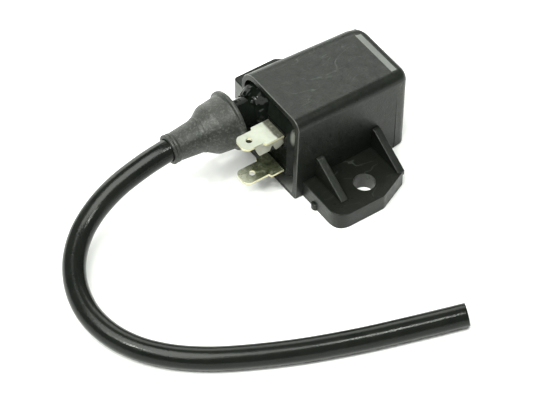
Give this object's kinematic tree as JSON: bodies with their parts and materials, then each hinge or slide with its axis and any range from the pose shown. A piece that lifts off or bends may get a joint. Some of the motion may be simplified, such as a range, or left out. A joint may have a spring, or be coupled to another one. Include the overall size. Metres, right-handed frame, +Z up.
{
  "type": "ignition coil",
  "caption": "Potted black ignition coil: rounded box with side mounting ears, flat blade terminals in the open end and a booted high-tension lead.",
  "frame": {"origin": "midway between the axes of the two screw holes in the ears, on the mounting plane under the body and ears", "axes": "+Z up from the mounting plane, +X towards the near ear, +Y from the open potted end with the terminals to the closed end"},
  "size_m": [0.1146, 0.1202, 0.0314],
  "materials": {
    "casing": "satin moulded black thermoplastic, lightly scuffed",
    "resin": "poured glossy black epoxy",
    "carrier": "resin-wetted black plastic",
    "tin": "tin plate, dulled",
    "tarnish": "tarnished tinned brass",
    "tower": "glossy black plastic",
    "rubber": "dusty matte black rubber",
    "jacket": "glossy black cable jacket",
    "steel": "silicon steel sheet",
    "bobbin": "natural nylon",
    "copper": null,
    "tape": "amber polyester tape",
    "brass": "plain brass"
  },
  "bodies": {
    "root": {"casing": "casing", "potting_resin": "resin", "terminal_carrier": "carrier", "terminal_upper": "tin", "terminal_lower": "tarnish", "ht_tower": "tower", "ht_contact_spike": "brass", "ht_boot": "rubber", "ht_lead": "jacket", "core_pack_1": "steel", "core_pack_2": "steel", "core_pack_3": "steel", "core_pack_4": "steel", "core_pack_5": "steel", "core_pack_6": "steel", "primary_bobbin": "bobbin", "primary_winding": "copper", "insulation_sleeve": "tape", "secondary_bobbin": "bobbin", "secondary_winding_1": "copper", "secondary_winding_2": "copper", "secondary_winding_3": "copper", "secondary_winding_4": "copper", "secondary_winding_5": "copper", "secondary_winding_6": "copper", "primary_start_wire": "copper", "primary_end_wire": "copper", "ht_link_wire": "copper", "secondary_return_wire": "copper"}
  },
  "joints": []
}
